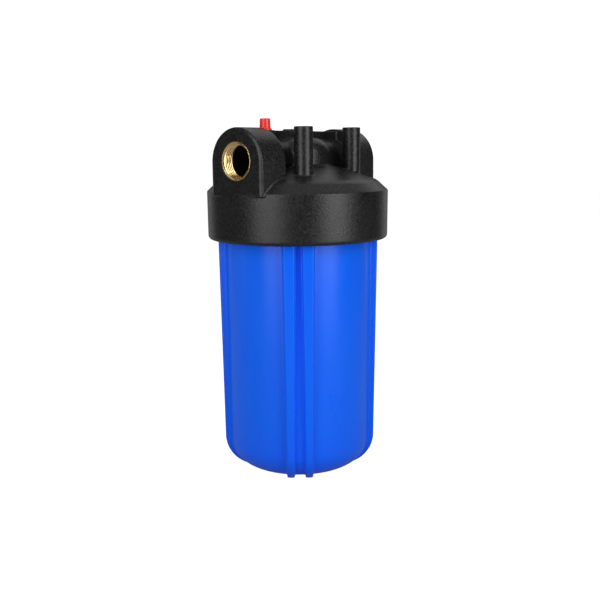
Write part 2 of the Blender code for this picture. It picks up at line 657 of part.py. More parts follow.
def build_cartridge(white, paper, netting, rubber):
    """Pleated media on a slotted core, between two end caps with gaskets."""
    top_gasket_top = KNIFE_EDGE_Z - GAP
    gasket_outer = 25.0 * MM
    for name, low in (
        ("cartridge_bottom_gasket", CARTRIDGE_BOTTOM_Z),
        ("cartridge_top_gasket", top_gasket_top - GASKET_THICKNESS),
    ):
        high = low + GASKET_THICKNESS
        bore = CARTRIDGE_BORE + 0.3 * MM
        outline = [(bore, low), (gasket_outer, low), (gasket_outer, high), (bore, high)]
        finish(lathe(name, outline, PIPE_STEPS, closed=True), rubber)

    bottom_cap_z = CARTRIDGE_BOTTOM_Z + GASKET_THICKNESS + GAP
    top_cap_z = top_gasket_top - GASKET_THICKNESS - GAP
    lip_inner = CARTRIDGE_RADIUS - 1.4 * MM
    for name, face, inward in (
        ("cartridge_bottom_end_cap", bottom_cap_z, 1), ("cartridge_top_end_cap", top_cap_z, -1),
    ):
        plate = face + inward * END_CAP_THICKNESS
        lip = plate + inward * END_CAP_LIP
        outline = [
            (CARTRIDGE_BORE, face),
            (CARTRIDGE_RADIUS - 1.0 * MM, face),
            (CARTRIDGE_RADIUS, face + inward * 1.0 * MM),
            (CARTRIDGE_RADIUS, lip),
            (lip_inner, lip),
            (lip_inner, plate),
            (CARTRIDGE_BORE, plate),
        ]
        finish(lathe(name, outline, BIG_STEPS, closed=True), white)

    low = bottom_cap_z + END_CAP_THICKNESS + GAP
    high = top_cap_z - END_CAP_THICKNESS - GAP
    core_outer = CARTRIDGE_BORE + CORE_WALL
    outline = [(CARTRIDGE_BORE, low), (core_outer, low), (core_outer, high), (CARTRIDGE_BORE, high)]
    core = lathe("cartridge_core", outline, SMALL_STEPS, closed=True)
    rows = 4
    slot_height = 34.0 * MM
    slot_half = 2.4 * MM
    spacing = (high - low) / rows
    for row in range(rows):
        middle = low + spacing * (row + 0.5)
        for turn in range(3):
            slot = box(
                "slot", (-core_outer - 2.0 * MM, -slot_half, middle - slot_height / 2),
                (core_outer + 2.0 * MM, slot_half, middle + slot_height / 2),
            )
            slot.data.transform(Matrix.Rotation(math.radians(60.0 * turn + 30.0 * row + 3.0), 4, "Z"))
            cut(core, slot)
    finish(core, white)

    media_outer = lip_inner - 1.6 * MM
    media_valley = core_outer + 8.0 * MM
    media_bore = core_outer + GAP
    ring = []
    for i in range(PLEATS * 2):
        angle = math.tau * i / (PLEATS * 2)
        radius = media_outer if i % 2 else media_valley
        ring.append((radius * math.cos(angle), radius * math.sin(angle)))
    media = loft("cartridge_media", [[Vector((x, y, z)) for x, y in ring] for z in (low, high)])
    outline = [(0.0, low - MM), (media_bore, low - MM), (media_bore, high + MM), (0.0, high + MM)]
    cut(media, lathe("media_bore", outline, PLEATS))
    finish(media, paper)

    net_outer = lip_inner - GAP
    net_inner = media_outer + GAP
    outline = [(net_inner, low), (net_outer, low), (net_outer, high), (net_inner, high)]
    finish(lathe("cartridge_outer_net", outline, BIG_STEPS, closed=True), netting)


def build():
    clear_scene()
    black = material("black_cap_plastic", (0.035, 0.035, 0.037), 0.55)
    blue = material("blue_bowl_plastic", (0.012, 0.16, 0.85), 0.28)
    red = material("red_button_plastic", (0.75, 0.02, 0.01), 0.3)
    brass = material("brass", (0.86, 0.62, 0.25), 0.25, 1.0)
    steel = material("stainless_steel", (0.62, 0.62, 0.63), 0.3, 1.0)
    rubber = material("black_rubber", (0.02, 0.02, 0.02), 0.8)
    white = material("white_end_cap_plastic", (0.82, 0.83, 0.82), 0.45)
    paper = material("pleated_media", (0.88, 0.88, 0.85), 0.9)
    netting = material("outer_net_plastic", (0.78, 0.8, 0.82), 0.5)
    build_cap(black)
    build_standpipe(black)
    build_insert("inlet_port_insert", -1, brass)
    build_insert("outlet_port_insert", 1, brass)
    build_bowl(blue)
    build_seal(rubber)
    build_relief_valve(red, steel, rubber)
    build_cartridge(white, paper, netting, rubber)


build()
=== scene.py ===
"""Looks of the cartridge filter housing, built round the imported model.

Shapes are worked out in millimetres and scaled to metres when a mesh is made.
+Z is up and the ports lie along X.
"""

import math

import bpy
import numpy as np
from mathutils import Matrix, Vector


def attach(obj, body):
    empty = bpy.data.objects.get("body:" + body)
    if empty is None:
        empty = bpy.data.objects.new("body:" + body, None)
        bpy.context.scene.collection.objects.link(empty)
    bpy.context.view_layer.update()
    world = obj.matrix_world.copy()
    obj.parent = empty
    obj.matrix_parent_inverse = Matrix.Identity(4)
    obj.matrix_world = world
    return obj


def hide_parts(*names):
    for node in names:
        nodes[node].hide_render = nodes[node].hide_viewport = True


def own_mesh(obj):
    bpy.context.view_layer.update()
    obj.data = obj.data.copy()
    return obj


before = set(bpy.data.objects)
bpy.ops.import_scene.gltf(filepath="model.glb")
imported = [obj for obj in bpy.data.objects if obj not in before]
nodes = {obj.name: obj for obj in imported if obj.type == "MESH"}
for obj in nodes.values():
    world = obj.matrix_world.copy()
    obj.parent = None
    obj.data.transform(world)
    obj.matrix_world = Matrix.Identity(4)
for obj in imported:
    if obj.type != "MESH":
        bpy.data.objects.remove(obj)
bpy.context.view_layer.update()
MM = 0.001
TO_MM = 1000.0

# Cap, in millimetres
COLLAR_BOTTOM_Z = 241.5
COLLAR_TOP_Z = 289.6
COLLAR_RADIUS = 92.0
COLLAR_FOOT_RADIUS = 91.7
COLLAR_FILLET = 4.0
SHOULDER_RADIUS = 80.4
SHOULDER_Z = 300.4
ROOF_SLOPE = math.radians(17.5)
ROOF_WALL = 6.5
HUB_RADIUS = 33.5
HUB_FILLET = 16.0
HUB_TOP_Z = 341.7
HUB_WALL = 5.5
PORT_Z = 320.1
CHANNEL_RADIUS = 20.0
WEB_HALF = 5.5
WEB_TOP_Z = 348.8
WEB_REACH = 60.3
PILLAR_RADIUS = 9.1
PILLAR_X = 38.0
PILLAR_Y = 40.0
PILLAR_TOP_Z = 352.0
SCREW_RADIUS = 3.2
SCREW_DEPTH = 22.0
SCREW_CHAMFER = 0.6
BLOCK_TOP_Z = 351.4
BLOCK_BOTTOM_Z = 287.4
BLOCK_INNER_X = 58.3
BLOCK_HALF_INNER = 35.2
BLOCK_HALF_OUTER = 32.6
PORT_REACH = 89.6
BEVEL_AXIAL = 1.4
BEVEL_SIDE = 2.5
BEVEL_EDGE = 0.5
PORT_BORE = 15.2
OUTLET_THROAT = 14.4
OUTLET_THROAT_X = -8.0
SEAT_RADIUS = 18.9
SEAT_DEPTH = 11.8
STANDPIPE_RADIUS = 20.0
STANDPIPE_BORE = 13.2
NOZZLE_RADIUS = 13.3
NOZZLE_BORE = 10.8
NOZZLE_BOTTOM_Z = 250.0
KNIFE_EDGE_RADIUS = 18.4
KNIFE_EDGE_Z = 261.5
SEAL_BORE = 80.2
SEAL_BORE_Z = 283.9
SEAT_BAND = 4.0
SEAT_CONE_SLOPE = 1.15
SEAT_CONE_SCALE = 0.66
LEAD_IN = 1.5
DIAGONAL = 0.71  # brings a slope of 45 degrees back to a distance
RELIEF_X = -47.8
RELIEF_BOSS_RADIUS = 9.6
RELIEF_SEAT_Z = 336.2
RELIEF_SHELF_Z = 341.0
RELIEF_BORE_RADIUS = 6.6
RELIEF_POCKET_RADIUS = 6.2
RELIEF_MOUTH_RADIUS = 7.4
RELIEF_MOUTH_DEPTH = 3.4
STEM_HOLE_RADIUS = 1.9

# Thread between cap and bowl
THREAD_PITCH = 8.0
THREAD_TURNS = 3.0
THREAD_START_TURN = 2.0 / 360.0
CAP_THREAD_ROOT = 84.8
CAP_THREAD_CREST = 82.3
CAP_THREAD_Z = 250.0
BOWL_THREAD_ROOT = 81.2
BOWL_THREAD_CREST = 83.9
BOWL_THREAD_Z = 253.2
THREAD_BASE_HALF = 2.2
THREAD_CREST_HALF = 1.15
THREAD_FADE = 5.0  # the thread reaches its full height in a fifth of a turn
THREAD_EDGE = 0.35
THREAD_FOOT = 1.4  # how far the cap's ridge reaches back into the wall
THREAD_END_SINK = 1.2  # how far its ends go under the wall's surface
FLANK_SCALE = 0.86
FAR_OUTSIDE = 9.0

# Bowl
BOWL_TOP_Z = 291.5
BOWL_BOTTOM_Z = 3.2
BOWL_RADIUS_TOP = 74.8
BOWL_RADIUS_LOW = 73.6
BOWL_WALL = 5.0
BOWL_FILLET = 27.5
NECK_BASE_Z = 240.8
NECK_BORE = 73.0
NECK_LAND = 79.7
GROOVE_RADIUS = 75.4
GROOVE_Z = (284.9, 289.5)
RIB_RADIUS_TOP = 80.9
RIB_FILLET = 33.0
RIB_FILLET_CENTRE = 45.3
RIB_TOP_Z = 244.0
RIB_WIDTH_TOP = 11.4
RIB_WIDTH_LOW = 7.6
RIB_OFFSET = 9.25
RIB_FOOT_RADIUS = 36.0
BOWL_TURN_DEG = 40.4

# Port inserts
INSERT_RADIUS = 18.6
INSERT_LENGTH = 11.5
INSERT_MAJOR = 16.7
INSERT_MINOR = 15.2
INSERT_PITCH = 2.21


# Distance fields. Each is negative inside. How two are combined makes fillets and rounded edges.

def join(a, b, fillet):
    corner = np.hypot(np.maximum(fillet - a, 0.0), np.maximum(fillet - b, 0.0))
    return np.maximum(fillet, np.minimum(a, b)) - corner


def meet(a, b, edge=0.0):
    if edge <= 0.0:
        return np.maximum(a, b)
    corner = np.hypot(np.maximum(edge + a, 0.0), np.maximum(edge + b, 0.0))
    return np.minimum(-edge, np.maximum(a, b)) + corner


def cut(a, b, edge=0.0):
    return meet(a, -b, edge)


def span(value, low, high):
    return np.abs(value - (low + high) / 2) - (high - low) / 2


def rod(radius, along, size, low, high, edge=0.0):
    """A cylinder, from the distance to its axis and the place along it."""
    return meet(radius - size, span(along, low, high), edge)


def domed(r, z, radius, fillet, top):
    """An upright cylinder with its top edge rounded over."""
    across = r - (radius - fillet)
    above = z - (top - fillet)
    outside = np.hypot(np.maximum(across, 0.0), np.maximum(above, 0.0))
    return outside + np.minimum(np.maximum(across, above), 0.0) - fillet


def beside_thread(turn, z, start_z):
    """Turns from the thread's start, distance from its middle line and its share of full height."""
    lead = np.mod(turn - THREAD_START_TURN, 1.0)
    level = np.clip(np.round((z - start_z) / THREAD_PITCH - lead), 0.0, THREAD_TURNS)
    along = level + lead
    offset = np.abs(z - start_z - THREAD_PITCH * along)
    fade = np.clip(np.minimum(along, THREAD_TURNS - along) * THREAD_FADE, 0.0, 1.0)
    return along, offset, fade


def cap_thread(r, turn, z):
    """A trapezoid ridge that winds up the inside of the collar. turn is the angle as a share of a turn."""
    along, offset, fade = beside_thread(turn, z, CAP_THREAD_Z)
    height = CAP_THREAD_ROOT - r
    depth = CAP_THREAD_ROOT - CAP_THREAD_CREST
    flank = THREAD_BASE_HALF + (THREAD_CREST_HALF - THREAD_BASE_HALF) * height / depth
    top = height - depth * fade - THREAD_END_SINK * (fade - 1.0)
    ridge = meet(FLANK_SCALE * (offset - flank), top, edge=THREAD_EDGE)
    return np.where(along > THREAD_TURNS, FAR_OUTSIDE, np.maximum(ridge, -THREAD_FOOT - height))


def roof_gap(r, z):
    """How far a point lies above the roof's cone."""
    return (z - SHOULDER_Z) * math.cos(ROOF_SLOPE) + (r - SHOULDER_RADIUS) * math.sin(ROOF_SLOPE)


def collar(r, z):
    """The threaded collar with its rounded foot, the shoulder and the roof."""
    lean = (COLLAR_RADIUS - COLLAR_FOOT_RADIUS) / (COLLAR_TOP_Z - COLLAR_BOTTOM_Z)
    side = r - COLLAR_RADIUS + lean * (COLLAR_TOP_Z - z)
    run, rise = COLLAR_RADIUS - SHOULDER_RADIUS, SHOULDER_Z - COLLAR_TOP_Z
    shoulder = ((r - COLLAR_RADIUS) * rise + (z - COLLAR_TOP_Z) * run) / math.hypot(run, rise)
    body = meet(side, COLLAR_BOTTOM_Z - z, edge=COLLAR_FILLET)
    body = meet(body, shoulder, edge=0.7)
    return meet(body, roof_gap(r, z), edge=1.6)


def port_block(y, z, far):
    """An arched block that tapers towards a bevelled port face."""
    taper = (BLOCK_HALF_INNER - BLOCK_HALF_OUTER) / (PORT_REACH - BEVEL_AXIAL - BLOCK_INNER_X)
    half = BLOCK_HALF_INNER - taper * np.clip(far - BLOCK_INNER_X, 0.0, PORT_REACH - BLOCK_INNER_X)
    crown = z - (BLOCK_TOP_Z - half)
    arch = np.where(crown > 0.0, np.hypot(y, crown), np.abs(y)) - half
    slant = BEVEL_SIDE / BEVEL_AXIAL
    bevel = (arch + BEVEL_SIDE + (far - PORT_REACH) * slant) / math.hypot(1.0, slant)
    block = meet(arch, BLOCK_INNER_X - far, edge=0.6)
    block = meet(block, bevel, edge=BEVEL_EDGE)
    block = meet(block, far - PORT_REACH, edge=BEVEL_EDGE)
    return meet(block, BLOCK_BOTTOM_Z - z, edge=0.6)


def cap_cavity(r, z):
    """The hollow inside: thread bore and its lead-in, seal seat, space under the roof, dome."""
    below_seat = z - SEAL_BORE_Z + SEAT_BAND
    lead_in = r - CAP_THREAD_ROOT - LEAD_IN + np.maximum(z - COLLAR_BOTTOM_Z - LEAD_IN, 0.0)
    lead_in = np.minimum(r - CAP_THREAD_ROOT, lead_in * DIAGONAL)
    seat_cone = (r - SEAL_BORE + (z - SEAL_BORE_Z) * SEAT_CONE_SLOPE) * SEAT_CONE_SCALE
    seat_cone = np.maximum(seat_cone, span(z, SEAL_BORE_Z - SEAT_BAND - 0.1, SEAL_BORE_Z))
    thread_bore = np.minimum(np.maximum(r - CAP_THREAD_ROOT, below_seat), seat_cone)
    thread_bore = np.minimum(thread_bore, np.maximum(lead_in, below_seat))
    under_roof = roof_gap(r, z) + ROOF_WALL * math.cos(ROOF_SLOPE)
    ceiling = z - (SHOULDER_Z - ROOF_WALL) - (SEAL_BORE - r) * 0.7
    seal_bore = meet(np.maximum(r - SEAL_BORE, under_roof), np.maximum(under_roof, ceiling), edge=1.0)
    dome = domed(r, z, HUB_RADIUS - HUB_WALL, HUB_FILLET - HUB_WALL, HUB_TOP_Z - HUB_WALL)
    return np.minimum(np.minimum(thread_bore, seal_bore), dome)


def standpipe(x, r, z, ports):
    """The pipe in the hub with its knife edge and nozzle, and the walls of both channels."""
    pipe = rod(r, z, STANDPIPE_RADIUS, KNIFE_EDGE_Z + 1.2, HUB_TOP_Z - 3.0, edge=0.8)
    flanks = np.abs(r - KNIFE_EDGE_RADIUS) * 0.85 + (KNIFE_EDGE_Z - z) * 0.5 - 0.4
    knife_edge = np.maximum(meet(flanks, z - KNIFE_EDGE_Z - 4.0), KNIFE_EDGE_Z - z)
    nozzle = rod(r, z, NOZZLE_RADIUS, NOZZLE_BOTTOM_Z, KNIFE_EDGE_Z + 6.0, edge=1.0)
    pipe = join(np.minimum(pipe, knife_edge), nozzle, fillet=0.8)
    channel = ports - CHANNEL_RADIUS + 0.2
    pipe = np.minimum(pipe, np.maximum(channel, span(x, 1.0, BLOCK_INNER_X + 4.0)))
    return np.minimum(pipe, np.maximum(channel, span(-x, HUB_RADIUS - 3.0, BLOCK_INNER_X + 4.0)))


def cap_bores(body, x, r, z, ports):
    """The body with the two ports, the insert seats and the bore of the standpipe cut from it."""
    body = cut(body, np.maximum(ports - PORT_BORE, STANDPIPE_RADIUS + x), edge=0.6)
    body = cut(body, np.maximum(ports - PORT_BORE, HUB_RADIUS - x), edge=0.3)
    body = cut(body, np.maximum(ports - OUTLET_THROAT, OUTLET_THROAT_X - x), edge=0.3)
    seat = np.maximum(ports - SEAT_RADIUS, PORT_REACH - SEAT_DEPTH - np.abs(x))
    body = cut(body, seat, edge=0.25)
    widening = np.clip((z - KNIFE_EDGE_Z - 4.0) / 6.0, 0.0, 1.0)
    bore = NOZZLE_BORE + (STANDPIPE_BORE - NOZZLE_BORE) * widening
    return cut(body, np.maximum(r - bore, z - PORT_Z - 4.0), edge=0.4)


def screw_hole(pillar_r, z):
    """A blind hole with a chamfered mouth."""
    hole = rod(pillar_r, z, SCREW_RADIUS, PILLAR_TOP_Z - SCREW_DEPTH, PILLAR_TOP_Z + 5.0)
    mouth = (pillar_r - SCREW_RADIUS - SCREW_CHAMFER - (z - PILLAR_TOP_Z)) * 0.7
    return np.minimum(hole, np.maximum(mouth, PILLAR_TOP_Z - 3.0 - z))


def relief_pocket(relief_r, z):
    """The vent valve's seal chamber, stem hole, spring pocket and the wide mouth for the skirt."""
    pocket = rod(relief_r, z, RELIEF_BORE_RADIUS, PORT_Z, RELIEF_SEAT_Z)
    stem_hole = rod(relief_r, z, STEM_HOLE_RADIUS, RELIEF_SEAT_Z - 1.0, RELIEF_SHELF_Z + 1.0)
    pocket = np.minimum(pocket, stem_hole)
    pocket = np.minimum(pocket, rod(relief_r, z, RELIEF_POCKET_RADIUS, RELIEF_SHELF_Z, WEB_TOP_Z))
    mouth = rod(relief_r, z, RELIEF_MOUTH_RADIUS, WEB_TOP_Z - RELIEF_MOUTH_DEPTH, WEB_TOP_Z + 9.0)
    return np.minimum(pocket, mouth)


def cap_field(x, y, z):
    r = np.hypot(x, y)
    turn = np.arctan2(y, x) / math.tau
    far = np.abs(x)
    ports = np.hypot(y, z - PORT_Z)
    relief_r = np.hypot(x - RELIEF_X, y)
    pillar_r = np.hypot(far - PILLAR_X, np.abs(y) - PILLAR_Y)

    body = join(collar(r, z), domed(r, z, HUB_RADIUS, HUB_FILLET, HUB_TOP_Z), fillet=2.0)
    channels = np.maximum(ports - CHANNEL_RADIUS, far - BLOCK_INNER_X - 3.0)
    body = join(body, channels, fillet=1.6)
    web = meet(np.abs(y) - WEB_HALF, z - WEB_TOP_Z, edge=0.8)
    body = join(body, np.maximum(np.maximum(web, far - WEB_REACH), PORT_Z - z), fillet=1.6)
    boss = rod(relief_r, z, RELIEF_BOSS_RADIUS, PORT_Z, WEB_TOP_Z + 0.1, edge=0.6)
    body = join(body, boss, fillet=1.0)
    body = join(body, port_block(y, z, far), fillet=1.4)
    pillar = rod(pillar_r, z, PILLAR_RADIUS, SHOULDER_Z - 1.0, PILLAR_TOP_Z, edge=0.9)
    body = join(body, pillar, fillet=1.5)

    body = cut(body, cap_cavity(r, z), edge=0.5)
    body = join(body, standpipe(x, r, z, ports), fillet=1.0)
    body = np.minimum(body, cap_thread(r, turn, z))
    body = cap_bores(body, x, r, z, ports)
    body = cut(body, screw_hole(pillar_r, z))
    return cut(body, relief_pocket(relief_r, z), edge=0.25)


SLOPE_STEP = 0.03
NORMAL_REACH = 0.25
NORMAL_SHARE = 0.3
STEEP_TURN = 0.7  # a corner normal may lean about 45 degrees from its face
FIELD_STRETCH = 1.35
PULL_TO_MEAN = 0.06
CAP_STEP = 0.85
CAP_TRIANGLES = 190_000
CHUNK = 120_000
GRID_BLOCK = 8
CELL_SLACK = 0.05
GRID_MARGIN = np.array([2.37, 2.41, 2.43])
TINY = 1e-12


def in_chunks(field, points):
    """The field at many points, a piece at a time so that the arrays stay small."""
    values = np.empty(len(points), np.float32)
    for start in range(0, len(points), CHUNK):
        part = points[start:start + CHUNK].astype(np.float32)
        values[start:start + CHUNK] = field(part[:, 0], part[:, 1], part[:, 2])
    return values


def slopes(field, points):
    """The unit outward direction of the field at each point."""
    change = []
    for step in SLOPE_STEP * np.eye(3):
        change.append(in_chunks(field, points + step) - in_chunks(field, points - step))
    slope = np.stack(change, -1)
    return slope / (np.linalg.norm(slope, axis=1, keepdims=True) + TINY)


def box_nodes(sides):
    """The whole-number places in a box, one row each."""
    return np.stack(np.meshgrid(*[np.arange(n) for n in sides], indexing="ij"), -1).reshape(-1, 3)


def sample_grid(field, low, shape, step):
    """Field values at the nodes of a grid. Blocks that the surface can't reach get only their sign."""
    blocks = [int(math.ceil(n / GRID_BLOCK)) for n in shape]
    corner = box_nodes(blocks) * GRID_BLOCK
    reach = 0.5 * math.sqrt(3.0) * GRID_BLOCK * step * FIELD_STRETCH + step
    middle = in_chunks(field, low + (corner + (GRID_BLOCK - 1) / 2) * step)
    grid = middle.reshape(blocks)
    for axis in range(3):
        grid = np.repeat(grid, GRID_BLOCK, axis)
    near = corner[np.abs(middle) < reach]
    index = (near[:, None, :] + box_nodes([GRID_BLOCK] * 3)[None]).reshape(-1, 3)
    grid[index[:, 0], index[:, 1], index[:, 2]] = in_chunks(field, low + index * step)
    return grid


def crossings(field, grid, low, step, axis):
    """Where the grid's lines along one axis cross the surface: node, point and whether it faces back."""
    first = np.moveaxis(grid, axis, 0)[:-1]
    second = np.moveaxis(grid, axis, 0)[1:]
    places = np.argwhere((first < 0) != (second < 0))
    before, after = first[tuple(places.T)], second[tuple(places.T)]
    node = np.empty_like(places)
    node[:, [axis] + [k for k in range(3) if k != axis]] = places
    share = before / (before - after)
    start = low + node * step
    point = start.copy()
    point[:, axis] += share * step
    again = in_chunks(field, point)
    short = (again < 0) == (before < 0)
    share_low, value_low = np.where(short, share, 0.0), np.where(short, again, before)
    share_high, value_high = np.where(short, 1.0, share), np.where(short, after, again)
    share = share_low + (share_high - share_low) * value_low / (value_low - value_high + TINY)
    point = start
    point[:, axis] += np.clip(share, 0.0, 1.0) * step
    return node, point, before >= 0


def cell_points(cell_low, members, hits, normals, step):
    """One point for each cell, where the planes of the crossings round it come closest to meeting."""
    count = len(cell_low)
    tally = np.bincount(members, minlength=count)
    mean = np.stack([np.bincount(members, hits[:, k], count) for k in range(3)], -1) / tally[:, None]
    matrix = np.empty((count, 3, 3))
    target = np.empty((count, 3))
    plane = np.sum(normals * (hits - mean[members]), axis=1)
    for i in range(3):
        target[:, i] = np.bincount(members, normals[:, i] * plane, count)
        for j in range(i, 3):
            entry = np.bincount(members, normals[:, i] * normals[:, j], count)
            matrix[:, i, j] = entry
            matrix[:, j, i] = entry
    matrix += PULL_TO_MEAN * np.eye(3)
    shift = np.linalg.solve(matrix, target[..., None])[..., 0]
    slack = CELL_SLACK * step
    return np.clip(mean + shift, cell_low - slack, cell_low + step + slack)


def contour(field, low, high, step):
    """Vertices and quads of the field's zero surface, by dual contouring, so that edges stay crisp."""
    low = np.array(low, float) - step * GRID_MARGIN
    shape = [int(math.ceil((h - l) / step)) + 4 for l, h in zip(low, high)]
    grid = sample_grid(field, low, shape, step)
    shape = grid.shape
    strides = np.array([shape[1] * shape[2], shape[2], 1])
    flip, corners, hits, normals = [], [], [], []
    for axis in range(3):
        node, point, backward = crossings(field, grid, low, step, axis)
        b, c = (axis + 1) % 3, (axis + 2) % 3
        flat = node @ strides
        around = [flat, flat - strides[b], flat - strides[b] - strides[c], flat - strides[c]]
        corners.append(np.stack(around, -1))
        flip.append(backward)
        hits.append(point)
        normals.append(slopes(field, point))
    cells, quads = np.unique(np.concatenate(corners), return_inverse=True)
    quads = quads.reshape(-1, 4)
    cell_low = low + np.stack(np.unravel_index(cells, shape), -1) * step
    hits, normals = (np.repeat(np.concatenate(part), 4, axis=0) for part in (hits, normals))
    place = cell_points(cell_low, quads.reshape(-1), hits, normals, step)
    flip = np.concatenate(flip)
    quads[flip] = quads[flip][:, ::-1]
    return place, quads


def mesh_object(name, points, faces):
    """An object from points in millimetres and faces that all have the same number of corners."""
    mesh = bpy.data.meshes.new(name)
    sides = faces.shape[1]
    mesh.vertices.add(len(points))
    mesh.vertices.foreach_set("co", (np.asarray(points) * MM).astype(np.float32).ravel())
    mesh.loops.add(faces.size)
    mesh.loops.foreach_set("vertex_index", faces.astype(np.int32).ravel())
    mesh.polygons.add(len(faces))
    mesh.polygons.foreach_set("loop_start", np.arange(0, faces.size, sides, dtype=np.int32))
    mesh.update(calc_edges=True)
    mesh.validate()
    made = bpy.data.objects.new(name, mesh)
    bpy.context.scene.collection.objects.link(made)
    return made


def apply_modifiers(made):
    graph = bpy.context.evaluated_depsgraph_get()
    result = bpy.data.meshes.new_from_object(made.evaluated_get(graph))
    made.modifiers.clear()
    made.data = result


def thin_out(made, triangles):
    """Collapse a dense mesh to about this many triangles, which keeps edges and frees flat areas."""
    have = sum(len(p.vertices) - 2 for p in made.data.polygons)
    if have > triangles:
        change = made.modifiers.new("thin", "DECIMATE")
        change.ratio = triangles / have
        apply_modifiers(made)


def shade(made, degrees):
    """Smooth shading, with edges kept sharp where faces meet at more than this angle."""
    made.data.shade_smooth()
    made.data.set_sharp_from_angle(angle=math.radians(degrees))


def read_all(items, name, kind=np.float32, width=3):
    """One property of every vertex, loop or face as an array."""
    values = np.empty(len(items) * width, kind)
    items.foreach_get(name, values)
    return values.reshape(-1, width) if width > 1 else values


def shade_from_field(made, field):
    """Corner normals from the slope of the field beside each corner, so that fillets shade smoothly."""
    mesh = made.data
    mesh.shade_smooth()
    sides = read_all(mesh.polygons, "loop_total", np.int32, 1)
    owner = np.repeat(np.arange(len(sides)), sides)
    vertex = read_all(mesh.loops, "vertex_index", np.int32, 1)
    corner = read_all(mesh.vertices, "co")[vertex] * TO_MM
    toward = read_all(mesh.polygons, "center")[owner] * TO_MM - corner
    flat = read_all(mesh.polygons, "normal")[owner]
    length = np.linalg.norm(toward, axis=1, keepdims=True)
    share = np.minimum(NORMAL_SHARE, NORMAL_REACH / (length + TINY))
    normals = slopes(field, corner + toward * share)
    odd = np.sum(normals * flat, axis=1) < STEEP_TURN
    normals[odd] = flat[odd]
    mesh.normals_split_custom_set(normals.tolist())


WELD_DISTANCE = 0.004
FILLET_SHARE = 0.49  # the most of a side that one fillet may take


def skin(name, rows, closed=False):
    """A surface over rows of points. A row that shrinks to the axis becomes one point."""
    rows = np.asarray(rows, float)
    count, columns = rows.shape[:2]
    index = np.arange(count * columns).reshape(count, columns)
    lower, upper = (index, np.roll(index, -1, 0)) if closed else (index[:-1], index[1:])
    quads = np.stack([lower, np.roll(lower, -1, 1), np.roll(upper, -1, 1), upper], -1).reshape(-1, 4)
    made = mesh_object(name, rows.reshape(-1, 3), quads)
    weld = made.modifiers.new("weld", "WELD")
    weld.merge_threshold = WELD_DISTANCE * MM
    apply_modifiers(made)
    return made


def arc(centre, radius, start_deg, end_deg, steps):
    angles = np.radians(np.linspace(start_deg, end_deg, steps + 1))
    return [(centre[0] + radius * math.cos(a), centre[1] + radius * math.sin(a)) for a in angles]


def rounded(corners, steps):
    """An open outline whose inner corners get the fillet radius given with them."""
    outline = [corners[0][:2]]
    for before, (x, y, radius), after in zip(corners, corners[1:], corners[2:]):
        here = Vector((x, y))
        back = Vector(before[:2]) - here
        ahead = Vector(after[:2]) - here
        if radius <= 0.0:
            outline.append((x, y))
            continue
        bend = back.angle(ahead)
        most = FILLET_SHARE * min(back.length, ahead.length)
        reach = min(radius / math.tan(bend / 2), most)
        start, end = here + back.normalized() * reach, here + ahead.normalized() * reach
        for i in range(steps + 1):
            t = i / steps
            outline.append(tuple(start * (1 - t) ** 2 + here * (2 * t * (1 - t)) + end * t ** 2))
    outline.append(corners[-1][:2])
    return outline


def ring(r, angles, z):
    """Points at radius r and height z, one for each angle."""
    return np.stack([r * np.cos(angles), r * np.sin(angles), np.full(len(angles), z)], -1)


def turned_rows(outline, columns):
    angles = np.arange(columns) * math.tau / columns
    return [ring(r, angles, z) for r, z in outline]


# Bowl. Each row goes once round: plain wall, then the pair of ribs, four times.

WALL_COLUMNS = 24
GAP_COLUMNS = 5
RIB_BASE_FILLET = 1.3
RIB_EDGE = 1.5
RIB_PAIRS = 4
WALL_LOW_Z = BOWL_BOTTOM_Z + BOWL_FILLET
WALL_HIGH_Z = NECK_BASE_Z - 1.5
THREAD_LOW_Z = NECK_BASE_Z + 7.5
FLOOR_Z = BOWL_BOTTOM_Z + BOWL_WALL
RIB_SETTLE = 40.0  # over this height the rib's rows come level with the wall's
BOTTOM_RINGS = (0.0, 3.0, 9.0, 16.0, 23.0, 29.0, 33.0)
RIB_FOOT_EDGE = ((-1.7, 0.0), (-1.5, 0.25), (-1.2, 0.55), (-0.7, 0.85), (0.0, 0.97), (0.8, 1.0))
RIB_FOOT_RINGS = (39.0, 42.0, 44.5)
CENTRING_RING_Z = 12.5
CENTRING_RING_OUTER = 18.8
CENTRING_RING_INNER = 17.6
SPIGOT_RADIUS = 13.2
SPIGOT_TIP_RADIUS = 11.2
SPIGOT_HEIGHT = 14.5


def rib_profile():
    """Across one rib: the place as a share of the half width, extra width, share of height, rise."""
    fillet = [(1.0, RIB_BASE_FILLET * (1.0 - math.sin(a)), 0.0, RIB_BASE_FILLET * (1.0 - math.cos(a)))
              for a in np.radians([0.0, 30.0, 60.0, 90.0])]
    corner = [(1.0, -RIB_EDGE * (1.0 - math.cos(a)), 1.0, -RIB_EDGE * (1.0 - math.sin(a)))
              for a in np.radians([0.0, 22.0, 45.0, 68.0, 90.0])]
    half = fillet + corner
    middle = [(share, 0.0, 1.0, 0.0) for share in (0.45, 0.0, -0.45)]
    return half + middle + [(-share, -extra, top, rise) for share, extra, top, rise in reversed(half)]


def rib_pair(width, height):
    """Across a pair of ribs and the gap between: place in mm and share of the rib's height."""
    shrink = min(1.0, height / (RIB_BASE_FILLET + RIB_EDGE))
    across = []
    for side in (-1, 1):
        for share, extra, top, rise in rib_profile():
            out = min(max(top + rise * shrink / height, 0.0), 1.0) if height > 1e-6 else 0.0
            across.append((side * RIB_OFFSET - share * width - extra * shrink, out))
        if side < 0:
            low = -RIB_OFFSET + width + RIB_BASE_FILLET * shrink
            steps = [i / (GAP_COLUMNS + 1) for i in range(1, GAP_COLUMNS + 1)]
            across += [(low - 2 * low * step, 0.0) for step in steps]
    return across


